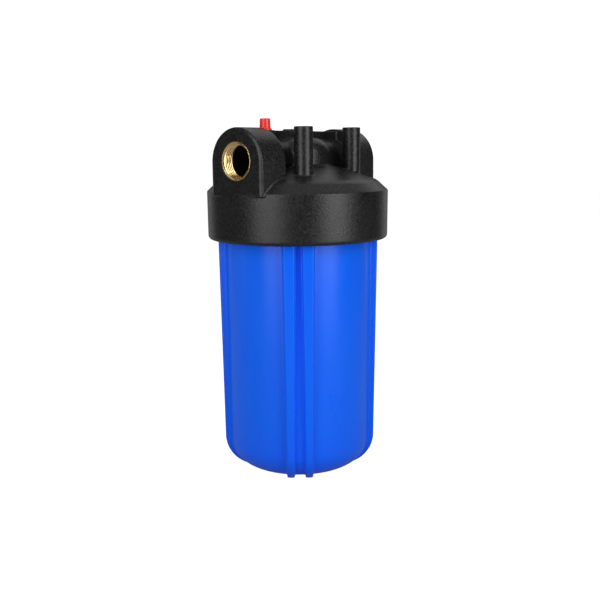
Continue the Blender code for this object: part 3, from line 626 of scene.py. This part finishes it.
def bowl_row(r, z, rib_r, rib_z):
    """One row of the bowl: wall radius and height, and the same for the outer face of the ribs."""
    widen = (RIB_WIDTH_TOP - RIB_WIDTH_LOW) * min(max(z, 0.0), RIB_TOP_Z) / RIB_TOP_Z
    across = rib_pair((RIB_WIDTH_LOW + widen) / 2, math.hypot(rib_r - r, rib_z - z))
    hold = max(r, RIB_FOOT_RADIUS - 3.0)
    first, last = math.asin(across[0][0] / hold), math.asin(across[-1][0] / hold)
    half, eighth = WALL_COLUMNS // 2, math.tau / 8
    before = np.array([(first + eighth) * i / half - eighth for i in range(half)])
    after = np.array([last + (eighth - last) * i / half for i in range(1, half)])
    points = []
    for pair in range(RIB_PAIRS):
        middle = math.tau * pair / RIB_PAIRS
        cos, sin = math.cos(middle), math.sin(middle)
        points += ring(r, middle + before, z).tolist()
        for at, out in across:
            at = at * r / hold
            wall_x = math.sqrt(max(r * r - at * at, 0.0))
            x = wall_x + (rib_r - wall_x) * out
            points.append((x * cos - at * sin, x * sin + at * cos, z + (rib_z - z) * out))
        points += ring(r, middle + after, z).tolist()
    return points


def plain_row(r, z):
    return bowl_row(r, z, r, z)


def foot_rows():
    """The bottom and the flat ends of the ribs."""
    rows = [plain_row(r, BOWL_BOTTOM_Z) for r in BOTTOM_RINGS]
    for reach, share in RIB_FOOT_EDGE:
        r = RIB_FOOT_RADIUS + reach
        rows.append(bowl_row(r, BOWL_BOTTOM_Z, r, BOWL_BOTTOM_Z * (1.0 - share)))
    return rows + [bowl_row(r, BOWL_BOTTOM_Z, r, 0.0) for r in RIB_FOOT_RINGS]


def wall_rows():
    """The rounded foot of the wall and the ribbed wall above it."""
    rows = []
    for angle in np.radians(np.linspace(-90.0, 0.0, 19)):
        r = BOWL_RADIUS_LOW - BOWL_FILLET * (1.0 - math.cos(angle))
        z = BOWL_BOTTOM_Z + BOWL_FILLET * (1.0 + math.sin(angle))
        rib_r = RIB_FILLET_CENTRE + RIB_FILLET * math.cos(angle)
        rows.append(bowl_row(r, z, rib_r, RIB_FILLET * (1.0 + math.sin(angle))))
    rib_lean = (RIB_RADIUS_TOP - RIB_FILLET_CENTRE - RIB_FILLET) / (RIB_TOP_Z - RIB_FILLET)
    wall_lean = (BOWL_RADIUS_TOP - BOWL_RADIUS_LOW) / (NECK_BASE_Z - WALL_LOW_Z)
    for z in np.linspace(WALL_LOW_Z, WALL_HIGH_Z, 22)[1:]:
        r = BOWL_RADIUS_LOW + wall_lean * (z - WALL_LOW_Z)
        rib_r = RIB_FILLET_CENTRE + RIB_FILLET + rib_lean * (z - RIB_FILLET)
        settle = max(0.0, 1.0 - (z - WALL_LOW_Z) / RIB_SETTLE)
        rows.append(bowl_row(r, z, rib_r, z + (RIB_FILLET - WALL_LOW_Z) * settle))
    return rows


def flare_rows():
    """Where the wall widens into the neck and the ribs end."""
    outline = rounded([
        (BOWL_RADIUS_TOP - 0.02, WALL_HIGH_Z, 0.0),
        (BOWL_RADIUS_TOP, NECK_BASE_Z, 3.0),
        (BOWL_THREAD_ROOT, NECK_BASE_Z + 6.0, 2.0),
        (BOWL_THREAD_ROOT, THREAD_LOW_Z, 0.0),
    ], 6)
    rows = []
    for r, z in outline[1:]:
        rib_r = max(r, RIB_RADIUS_TOP)
        if z >= RIB_TOP_Z - 1.5:
            share = min(1.0, max(0.0, (RIB_TOP_Z + 2.6 - z) / 3.0))
            rib_r = r + max(0.0, RIB_RADIUS_TOP - r) * share
        rows.append(bowl_row(r, z, rib_r, z))
    return rows


def neck_rows():
    """The threaded neck, the seal groove and the way down inside. Also gives the thread's two ends."""
    outline = rounded([
        (BOWL_THREAD_ROOT, THREAD_LOW_Z, 0.0),
        (BOWL_THREAD_ROOT, GROOVE_Z[0] - 2.5, 0.3),
        (NECK_LAND, GROOVE_Z[0] - 1.0, 0.3),
        (NECK_LAND, GROOVE_Z[0], 0.3),
        (GROOVE_RADIUS, GROOVE_Z[0], 0.3),
        (GROOVE_RADIUS, GROOVE_Z[1], 0.3),
        (NECK_LAND, GROOVE_Z[1], 0.3),
        (NECK_LAND, BOWL_TOP_Z, 0.8),
        (NECK_BORE, BOWL_TOP_Z, 0.8),
        (NECK_BORE, NECK_BASE_Z + 11.0, 2.0),
        (BOWL_RADIUS_TOP - BOWL_WALL, NECK_BASE_Z + 3.0, 2.0),
        (BOWL_RADIUS_LOW - BOWL_WALL, WALL_LOW_Z, 0.0),
    ], 3)
    thread_low, thread_high = outline[0][1], outline[1][1]
    levels = np.arange(thread_low, thread_high - 0.2, 0.5)
    rows = [plain_row(BOWL_THREAD_ROOT, z) for z in levels]
    return rows + [plain_row(r, z) for r, z in outline[1:-1]], thread_low, thread_high


def floor_rows():
    """The rounded inside of the bowl and its floor, with the ring and spigot that centre the cartridge."""
    outline = arc((BOWL_RADIUS_LOW - BOWL_FILLET, WALL_LOW_Z), BOWL_FILLET - BOWL_WALL, 0.0, -90.0, 11)
    outline += rounded([
        (40.0, FLOOR_Z, 0.0),
        (20.5, FLOOR_Z, 0.5),
        (CENTRING_RING_OUTER, CENTRING_RING_Z, 0.3),
        (CENTRING_RING_INNER, CENTRING_RING_Z, 0.3),
        (16.6, FLOOR_Z, 0.4),
        (SPIGOT_RADIUS, FLOOR_Z, 0.5),
        (SPIGOT_RADIUS, FLOOR_Z + SPIGOT_HEIGHT - 2.5, 1.0),
        (SPIGOT_TIP_RADIUS, FLOOR_Z + SPIGOT_HEIGHT, 1.0),
        (0.0, FLOOR_Z + SPIGOT_HEIGHT, 0.0),
    ], 3)
    return [plain_row(r, z) for r, z in outline]


def bowl_thread(rows, low, high):
    """The factor that moves each point between two heights outwards to make the thread."""
    r, z = np.hypot(rows[..., 0], rows[..., 1]), rows[..., 2]
    turn = (np.arctan2(rows[..., 1], rows[..., 0]) + math.radians(BOWL_TURN_DEG)) / math.tau
    offset, fade = beside_thread(turn, z, BOWL_THREAD_Z)[1:]
    climb = np.clip((THREAD_BASE_HALF - offset) / (THREAD_BASE_HALF - THREAD_CREST_HALF), 0.0, 1.0)
    climb = climb * climb * (3.0 - 2.0 * climb) * fade * (BOWL_THREAD_CREST - BOWL_THREAD_ROOT)
    threaded = (np.abs(r - BOWL_THREAD_ROOT) < 0.01) & (z >= low) & (z <= high)
    return np.where(threaded, (r + climb) / np.maximum(r, 1e-6), 1.0)


def build_bowl():
    threaded, thread_low, thread_high = neck_rows()
    rows = np.array(foot_rows() + wall_rows() + flare_rows() + threaded + floor_rows())
    rows[..., :2] *= bowl_thread(rows, thread_low, thread_high)[..., None]
    swing = math.radians(BOWL_TURN_DEG)
    x, y = rows[..., 0].copy(), rows[..., 1].copy()
    rows[..., 0] = x * math.cos(swing) - y * math.sin(swing)
    rows[..., 1] = x * math.sin(swing) + y * math.cos(swing)
    made = skin("bowl", rows)
    shade(made, degrees=38.0)
    return made


def build_insert(name, side):
    """A turned brass ring with chamfers, a polished face and a real internal thread."""
    columns = 144
    back = PORT_REACH - INSERT_LENGTH
    rows = turned_rows(rounded([
        (INSERT_MAJOR + 0.5, back, 0.0),
        (INSERT_RADIUS, back, 0.3),
        (INSERT_RADIUS, PORT_REACH, 0.35),
        (INSERT_MAJOR + 0.9, PORT_REACH, 0.25),
        (INSERT_MAJOR - 0.1, PORT_REACH - 1.0, 0.0),
    ], 3), columns)
    angles = np.arange(columns) * math.tau / columns
    for x in np.arange(PORT_REACH - 1.1, back + 0.6, -0.17):
        phase = (x - back) / INSERT_PITCH - side * angles / math.tau
        wave = np.abs(np.mod(phase, 1.0) - 0.5) * 2.0
        crest = np.clip((0.92 - wave) * 1.25, 0.0, 1.0)
        fade = max(min(1.0, (PORT_REACH - 0.9 - x) / 1.2), 0.0)
        depth = (INSERT_MAJOR - INSERT_MINOR) * (1.0 - crest) * fade
        rows.append(ring(INSERT_MAJOR - depth, angles, x))
    rows += turned_rows([(INSERT_MAJOR - 0.4, back + 0.3), (INSERT_MAJOR + 0.3, back)], columns)
    rows = np.array(rows)
    placed = np.stack([side * rows[..., 2], rows[..., 1] * side, rows[..., 0] + PORT_Z], -1)
    made = skin(name, placed, closed=True)
    shade(made, degrees=40.0)
    return made


def build_button():
    """The vent button: a flared skirt and a domed cap, hollow below for the spring."""
    outline = rounded([
        (0.0, 356.6, 0.0), (2.15, 356.6, 0.0), (2.15, 352.0, 0.3), (4.45, 352.0, 0.0),
        (4.45, 344.6, 0.2), (4.9, 344.6, 0.2), (5.8, 345.4, 0.3), (5.8, 348.2, 0.4),
        (6.7, 349.0, 0.5), (6.7, 349.9, 0.6), (5.35, 351.6, 1.0), (5.0, 360.2, 1.0),
        (3.2, 360.2, 0.5), (2.8, 359.85, 0.4), (0.0, 359.8, 0.0),
    ], 4)
    rows = np.array(turned_rows(outline, 80))
    rows[..., 0] += RELIEF_X
    made = skin("vent_button", rows)
    shade(made, degrees=45.0)
    return made


def build_cap():
    low = (-COLLAR_RADIUS, -COLLAR_RADIUS, COLLAR_BOTTOM_Z)
    high = (COLLAR_RADIUS, COLLAR_RADIUS, PILLAR_TOP_Z)
    points, quads = contour(cap_field, low, high, CAP_STEP)
    made = mesh_object("cap", points, quads)
    thin_out(made, CAP_TRIANGLES)
    shade_from_field(made, cap_field)
    return made


# Materials. Every pattern is made from the object's own place in millimetres, and noise scales are
# per millimetre.

class Paint:
    """A small helper that lays out shader nodes."""

    def __init__(self, name):
        self.material = bpy.data.materials.new(name)
        self.material.use_nodes = True
        self.tree = self.material.node_tree
        self.shader = self.tree.nodes["Principled BSDF"]
        place = self.add("ShaderNodeTexCoord").outputs["Object"]
        self.mm = self.vector("SCALE", place, scale=TO_MM)

    def add(self, kind, **settings):
        node = self.tree.nodes.new(kind)
        for key, value in settings.items():
            setattr(node, key, value)
        return node

    def put(self, socket, value):
        if isinstance(value, bpy.types.NodeSocket):
            self.tree.links.new(value, socket)
        else:
            socket.default_value = value

    def vector(self, operation, a, b=None, scale=None):
        node = self.add("ShaderNodeVectorMath", operation=operation)
        self.put(node.inputs[0], a)
        if b is not None:
            self.put(node.inputs[1], b)
        if scale is not None:
            node.inputs["Scale"].default_value = scale
        return node.outputs[0]

    def math(self, operation, a, b=0.0):
        node = self.add("ShaderNodeMath", operation=operation)
        for socket, value in zip(node.inputs, (a, b)):
            self.put(socket, value)
        return node.outputs[0]

    def noise(self, scale, detail=2.0, roughness=0.5, place=None, distortion=0.0):
        node = self.add("ShaderNodeTexNoise")
        self.put(node.inputs["Vector"], place or self.mm)
        node.inputs["Scale"].default_value = scale
        node.inputs["Detail"].default_value = detail
        node.inputs["Roughness"].default_value = roughness
        node.inputs["Distortion"].default_value = distortion
        return node.outputs[0]

    def span(self, value, low, high, out_low, out_high):
        node = self.add("ShaderNodeMapRange")
        self.put(node.inputs["Value"], value)
        limits = {"From Min": low, "From Max": high, "To Min": out_low, "To Max": out_high}
        for key, number in limits.items():
            node.inputs[key].default_value = number
        return node.outputs["Result"]

    def blend(self, share, first, second):
        node = self.add("ShaderNodeMix", data_type="RGBA")
        self.put(node.inputs["Factor"], share)
        self.put(node.inputs[6], first)
        self.put(node.inputs[7], second)
        return node.outputs[2]

    def bump(self, height, depth_mm, strength, under=None):
        node = self.add("ShaderNodeBump")
        node.inputs["Distance"].default_value = depth_mm * MM
        node.inputs["Strength"].default_value = strength
        self.put(node.inputs["Height"], height)
        if under is not None:
            self.put(node.inputs["Normal"], under)
        return node.outputs["Normal"]

    def split(self):
        node = self.add("ShaderNodeSeparateXYZ")
        self.put(node.inputs[0], self.mm)
        return node.outputs

    def set(self, **sockets):
        for key, value in sockets.items():
            self.put(self.shader.inputs[key.replace("_", " ")], value)
        return self.material


def colour(r, g, b):
    return (r, g, b, 1.0)


def cap_plastic():
    """Black glass-filled plastic with a fine eroded grain."""
    p = Paint("cap_black_plastic")
    grain = p.noise(0.52, 4.0, 0.62)
    fine = p.noise(2.4, 2.0, 0.5)
    broad = p.noise(0.045, 3.0, 0.5)
    tint = p.blend(broad, colour(0.0055, 0.0056, 0.006), colour(0.009, 0.0092, 0.0098))
    tint = p.blend(p.span(grain, 0.46, 0.68, 0.0, 0.9), tint, colour(0.02, 0.0202, 0.0208))
    rough = p.math("ADD", p.span(grain, 0.3, 0.7, 0.24, 0.4), p.span(broad, 0.3, 0.7, -0.03, 0.03))
    shape = p.bump(grain, depth_mm=0.46, strength=0.6)
    shape = p.bump(fine, depth_mm=0.03, strength=0.4, under=shape)
    return p.set(Base_Color=tint, Roughness=rough, Normal=shape, IOR=1.45)


def bowl_plastic():
    """Bright blue polypropylene, satin, with a faint flow pattern along its height. Painted shade deepens
    the blue towards the bottom.
    """
    p = Paint("bowl_blue_plastic")
    height = p.split()[2]
    flow_place = p.vector("MULTIPLY", p.mm, (0.05, 0.05, 0.012))
    flow = p.noise(1.0, 3.0, 0.55, place=flow_place, distortion=0.4)
    fine = p.noise(1.9, 2.0, 0.5)
    # Painted shade: the blue turns darker and deeper over the lowest 60 mm.
    painted_shade_low_end = p.span(height, 0.0, 60.0, 1.0, 0.0)
    tint = p.blend(flow, colour(0.0015, 0.125, 0.97), colour(0.0025, 0.145, 1.0))
    tint = p.blend(p.math("MULTIPLY", painted_shade_low_end, 0.5), tint, colour(0.01, 0.09, 0.97))
    rough = p.math("ADD", p.span(fine, 0.3, 0.7, 0.27, 0.33), p.span(flow, 0.3, 0.7, -0.02, 0.03))
    shape = p.bump(fine, depth_mm=0.012, strength=0.35)
    shape = p.bump(flow, depth_mm=0.35, strength=0.12, under=shape)
    return p.set(Base_Color=tint, Roughness=rough, Normal=shape, IOR=1.34)


def button_plastic():
    p = Paint("button_red_plastic")
    fine = p.noise(0.7, 2.0)
    broad = p.noise(0.12, 2.0)
    tint = p.blend(broad, colour(0.86, 0.03, 0.03), colour(0.95, 0.05, 0.04))
    rough = p.span(fine, 0.3, 0.7, 0.16, 0.24)
    shape = p.bump(fine, depth_mm=0.006, strength=0.2)
    return p.set(Base_Color=tint, Roughness=rough, Normal=shape, IOR=1.5)


def brass():
    """Turned brass: fine rings about the port's axis and slight colour change."""
    p = Paint("port_brass")
    x, y, z = p.split()
    up = p.math("SUBTRACT", z, PORT_Z)
    radius = p.math("SQRT", p.math("ADD", p.math("MULTIPLY", y, y), p.math("MULTIPLY", up, up)))
    ring_place = p.add("ShaderNodeCombineXYZ")
    for socket, value in zip(ring_place.inputs, (radius, x)):
        p.put(socket, p.math("MULTIPLY", value, 3.0))
    rings = p.noise(1.0, 3.0, 0.6, place=ring_place.outputs[0])
    broad = p.noise(0.2, 3.0)
    tint = p.blend(broad, colour(0.82, 0.56, 0.24), colour(0.95, 0.72, 0.36))
    rough = p.math("ADD", p.span(rings, 0.3, 0.7, 0.16, 0.27), p.span(broad, 0.3, 0.7, -0.02, 0.05))
    shape = p.bump(rings, depth_mm=0.004, strength=0.3)
    return p.set(Base_Color=tint, Roughness=rough, Metallic=1.0, Normal=shape)


def steel():
    p = Paint("stainless_wire")
    fine = p.noise(3.0, 3.0)
    tint = p.blend(fine, colour(0.52, 0.52, 0.53), colour(0.68, 0.68, 0.69))
    rough = p.span(fine, 0.3, 0.7, 0.22, 0.36)
    shape = p.bump(fine, depth_mm=0.01, strength=0.3)
    return p.set(Base_Color=tint, Roughness=rough, Metallic=1.0, Normal=shape)


def rubber():
    p = Paint("black_seal_rubber")
    fine = p.noise(2.0, 3.0)
    tint = p.blend(fine, colour(0.008, 0.008, 0.008), colour(0.022, 0.022, 0.022))
    rough = p.span(fine, 0.3, 0.7, 0.6, 0.8)
    return p.set(Base_Color=tint, Roughness=rough, Normal=p.bump(fine, depth_mm=0.04, strength=0.5))


def cartridge_plastic():
    p = Paint("cartridge_white_plastic")
    fine = p.noise(1.4, 2.0)
    broad = p.noise(0.06, 2.0)
    tint = p.blend(broad, colour(0.76, 0.77, 0.76), colour(0.86, 0.86, 0.85))
    rough = p.span(fine, 0.3, 0.7, 0.38, 0.5)
    return p.set(Base_Color=tint, Roughness=rough, Normal=p.bump(fine, depth_mm=0.02, strength=0.4))


def filter_media():
    """Pressed nonwoven fibre."""
    p = Paint("cartridge_filter_media")
    fibres = p.noise(3.2, 4.0, 0.7, distortion=1.2)
    broad = p.noise(0.12, 3.0)
    tint = p.blend(fibres, colour(0.72, 0.71, 0.67), colour(0.9, 0.9, 0.87))
    tint = p.blend(p.math("MULTIPLY", broad, 0.3), tint, colour(0.8, 0.79, 0.74))
    rough = p.span(fibres, 0.3, 0.7, 0.8, 0.95)
    shape = p.bump(fibres, depth_mm=0.12, strength=0.7)
    return p.set(Base_Color=tint, Roughness=rough, Normal=shape)


def net_plastic():
    """Fine diamond netting pressed into a sleeve."""
    p = Paint("cartridge_net_plastic")
    x, y, z = p.split()
    angle = p.math("MULTIPLY", p.math("ARCTAN2", y, x), 56.0)
    rise = p.math("MULTIPLY", z, 1.6)
    first = p.math("ABSOLUTE", p.math("SINE", p.math("ADD", angle, rise)))
    second = p.math("ABSOLUTE", p.math("SINE", p.math("SUBTRACT", angle, rise)))
    strand = p.math("MINIMUM", first, second)
    line = p.span(strand, 0.15, 0.35, 1.0, 0.0)
    tint = p.blend(line, colour(0.5, 0.52, 0.54), colour(0.82, 0.83, 0.84))
    rough = p.span(strand, 0.1, 0.5, 0.4, 0.6)
    return p.set(Base_Color=tint, Roughness=rough, Normal=p.bump(line, depth_mm=0.4, strength=0.8))


def dress(piece, material):
    piece.data.materials.clear()
    piece.data.materials.append(material)


BLACK, BLUE, RED, BRASS = cap_plastic(), bowl_plastic(), button_plastic(), brass()
STEEL, RUBBER, WHITE = steel(), rubber(), cartridge_plastic()
MEDIA, NET = filter_media(), net_plastic()

for made, body, slot_name, material, replaced in (
    (build_cap(), "cap", "cap_plastic", BLACK, ["cap_head", "cap_standpipe"]),
    (build_bowl(), "sump", "bowl_plastic", BLUE, ["sump_bowl"]),
    (build_insert("inlet_insert", -1), "cap", "port_brass", BRASS, ["inlet_port_insert"]),
    (build_insert("outlet_insert", 1), "cap", "port_brass", BRASS, ["outlet_port_insert"]),
    (build_button(), "relief_valve", "button_plastic", RED, ["relief_button"]),
):
    dress(made, material)
    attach(made, body)
    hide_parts(*replaced)

for name, material in (
    ("sump_oring", RUBBER), ("relief_valve_seal", RUBBER), ("cartridge_top_gasket", RUBBER),
    ("cartridge_bottom_gasket", RUBBER), ("relief_screw", STEEL), ("relief_spring", STEEL),
    ("cartridge_core", WHITE), ("cartridge_top_end_cap", WHITE), ("cartridge_bottom_end_cap", WHITE),
    ("cartridge_media", MEDIA), ("cartridge_outer_net", NET),
):
    for slot in nodes[name].material_slots:
        slot.material = material


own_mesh(nodes["relief_spring"])


# Floor, light and camera

FLOOR_HALF_SIDE = 12000.0
GROUND_Z = -0.3
CAMERA_AZIMUTH_DEG = -49.9
CAMERA_AZIMUTH = math.radians(CAMERA_AZIMUTH_DEG)
CAMERA_DISTANCE = 0.862
CAMERA_HEIGHT = 0.3297
CAMERA_PITCH = math.radians(10.15)
CAMERA_YAW = math.radians(-0.11)
CAMERA_ROLL = math.radians(0.48)
CAMERA_SENSOR = 36.0
CAMERA_LENS = 50.2
LIGHT_AIM = (0.0, 0.0, 0.2)
AMBIENT = 0.05
BACKDROP = 1.1


def floor_material():
    """A matt pale floor that the camera sees as pure white and that lights the object only a little."""
    p = Paint("studio_floor")
    soft = p.noise(0.004, 2.0)
    tint = p.blend(soft, colour(0.3, 0.3, 0.3), colour(0.34, 0.34, 0.34))
    seen = p.add("ShaderNodeLightPath").outputs["Is Camera Ray"]
    glow = p.span(seen, 0.0, 1.0, AMBIENT, 1.0)
    rough = p.span(soft, 0.3, 0.7, 0.8, 0.9)
    white = colour(1.0, 1.0, 1.0)
    return p.set(Base_Color=tint, Roughness=rough, Emission_Color=white, Emission_Strength=glow)


def build_floor():
    signs = ((-1, -1), (1, -1), (1, 1), (-1, 1))
    corners = [(x * FLOOR_HALF_SIDE, y * FLOOR_HALF_SIDE, GROUND_Z) for x, y in signs]
    made = mesh_object("floor", np.array(corners), np.array([[0, 1, 2, 3]]))
    dress(made, floor_material())


def away(azimuth, distance, height):
    """A point that far from the axis, at an azimuth that runs round from -Y towards +X."""
    return Vector((math.sin(azimuth) * distance, -math.cos(azimuth) * distance, height))


def build_camera():
    data = bpy.data.cameras.new("camera")
    data.sensor_width = CAMERA_SENSOR
    data.lens = CAMERA_LENS
    data.clip_start = 0.05
    camera = bpy.data.objects.new("camera", data)
    bpy.context.scene.collection.objects.link(camera)
    camera.location = away(CAMERA_AZIMUTH, CAMERA_DISTANCE, CAMERA_HEIGHT)
    look = CAMERA_AZIMUTH + CAMERA_YAW
    turn = Matrix.Rotation(look, 4, "Z") @ Matrix.Rotation(math.pi / 2 - CAMERA_PITCH, 4, "X")
    turn = turn @ Matrix.Rotation(-CAMERA_ROLL, 4, "Z")
    camera.rotation_euler = turn.to_euler()
    bpy.context.scene.camera = camera


def build_light(name, side_deg, distance, height, size, power, reflected=True):
    """A softbox aimed at the object, from an angle to the side of the camera."""
    data = bpy.data.lights.new(name, "AREA")
    data.shape = "RECTANGLE"
    data.size, data.size_y = size
    data.energy = power
    light = bpy.data.objects.new(name, data)
    light.visible_camera = False
    light.visible_glossy = reflected
    bpy.context.scene.collection.objects.link(light)
    light.location = away(math.radians(CAMERA_AZIMUTH_DEG + side_deg), distance, height)
    light.rotation_euler = (Vector(LIGHT_AIM) - light.location).to_track_quat("-Z", "Y").to_euler()


def build_world():
    world = bpy.data.worlds.new("studio")
    bpy.context.scene.world = world
    world.use_nodes = True
    tree = world.node_tree
    sky = tree.nodes["Background"]
    rays = tree.nodes.new("ShaderNodeLightPath")
    level = tree.nodes.new("ShaderNodeMapRange")
    tree.links.new(rays.outputs["Is Camera Ray"], level.inputs["Value"])
    level.inputs["To Min"].default_value = AMBIENT
    level.inputs["To Max"].default_value = BACKDROP
    tree.links.new(level.outputs["Result"], sky.inputs["Strength"])
    sky.inputs["Color"].default_value = (1.0, 1.0, 1.0, 1.0)


build_floor()
build_camera()
build_world()
build_light("softbox_left", -35.5, 0.95, 0.5, size=(0.58, 1.0), power=5.4)
build_light("softbox_right", 46.0, 0.95, 0.5, size=(0.56, 1.0), power=6.8)
build_light("side_left", -100.0, 1.0, 0.3, size=(0.6, 1.0), power=1.8, reflected=False)
build_light("rim_left", -142.0, 1.0, 0.4, size=(0.3, 1.2), power=0.6)
build_light("rim_right", 142.0, 1.0, 0.4, size=(0.3, 1.2), power=0.65)
build_light("softbox_top", 20.0, 0.15, 1.6, size=(1.9, 1.9), power=4.8)
build_light("softbox_back", 180.0, 0.9, 1.2, size=(1.6, 1.0), power=2.6)
bpy.context.scene.view_settings.view_transform = "Standard"
